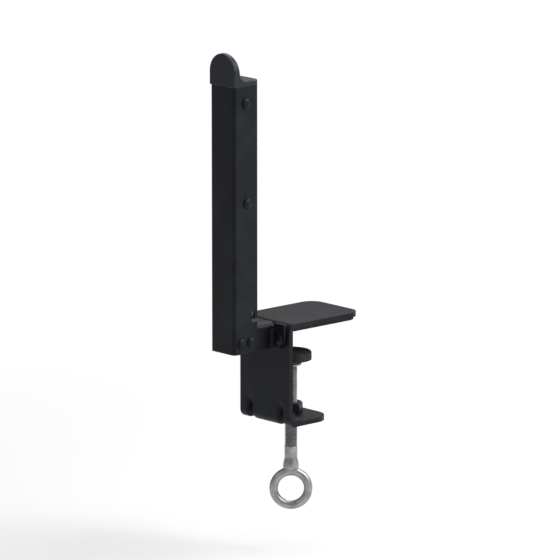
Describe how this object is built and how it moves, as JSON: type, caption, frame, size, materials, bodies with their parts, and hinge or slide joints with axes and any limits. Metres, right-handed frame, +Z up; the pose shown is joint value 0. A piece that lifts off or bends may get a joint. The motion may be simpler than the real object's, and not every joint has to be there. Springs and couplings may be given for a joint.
{
  "type": "table tennis net clamp",
  "caption": "Screw clamp with a channel post for one end of a table tennis net: bent steel jaws, ring screw with swivel disc, cord roller and screw-driven cord slider.",
  "frame": {"origin": "on the clamp screw's axis, on the underside of the upper jaw's pad, which is the plane of the table top", "axes": "+Z up, +Y inwards over the table, X along the table's edge"},
  "size_m": [0.045, 0.0964, 0.294],
  "materials": {
    "black_paint": "satin black powder coat",
    "black_plastic": "fine-grained black moulding",
    "zinc_plate": "dull bright zinc plate",
    "black_rubber": "matt ribbed rubber"
  },
  "bodies": {
    "frame": {"clamp_frame": "black_paint", "jaw_pad": "black_rubber", "weld_nut": "black_paint", "post_arm": "black_paint", "arm_rivet_1": "black_paint", "arm_rivet_2": "black_paint", "net_post": "black_paint", "post_rivet_1": "black_paint", "post_rivet_2": "black_paint", "post_rivet_3": "black_paint", "post_rivet_4": "black_paint", "post_cap": "black_plastic", "roller_pin": "black_paint", "screw_bridge": "zinc_plate", "bridge_rivet_1": "black_paint", "bridge_rivet_2": "black_paint"},
    "roller": {"cord_roller": "black_plastic"},
    "slider": {"cord_slider": "zinc_plate", "cord_hook": "zinc_plate"},
    "tensioner": {"tension_screw": "zinc_plate", "retaining_clip": "zinc_plate", "wheel_spacer": "zinc_plate", "thumbwheel": "black_plastic"},
    "pressure_pad": {"swivel_disc": "zinc_plate", "disc_cap": "black_rubber", "spigot_washer": "zinc_plate"},
    "ring_screw": {"clamp_screw": "zinc_plate"}
  },
  "joints": [
    {"name": "roller_spin", "type": "hinge", "parent": "frame", "child": "roller", "pos_m": [0, -0.0469, 0.1445], "axis": [1, 0, 0], "continuous": true},
    {"name": "slider_travel", "type": "slide", "parent": "frame", "child": "slider", "axis": [0, 0, 1], "range_m": [-0.0255, 0.013]},
    {"name": "tension_spin", "type": "hinge", "parent": "frame", "child": "tensioner", "pos_m": [0, -0.046, 0.018], "axis": [0, 0, 1], "range_deg": [-5855, 11480]},
    {"name": "screw_travel", "type": "slide", "parent": "frame", "child": "pressure_pad", "axis": [0, 0, 1], "range_m": [-0.023, 0.0175]},
    {"name": "screw_spin", "type": "hinge", "parent": "pressure_pad", "child": "ring_screw", "pos_m": [0, 0, -0.027], "axis": [0, 0, 1], "range_deg": [-6630, 5045]}
  ],
  "couplings": [
    {"joint": "tension_spin", "follows": "slider_travel", "rad_per_m": -7854},
    {"joint": "screw_spin", "follows": "screw_travel", "rad_per_m": 5026.5}
  ]
}
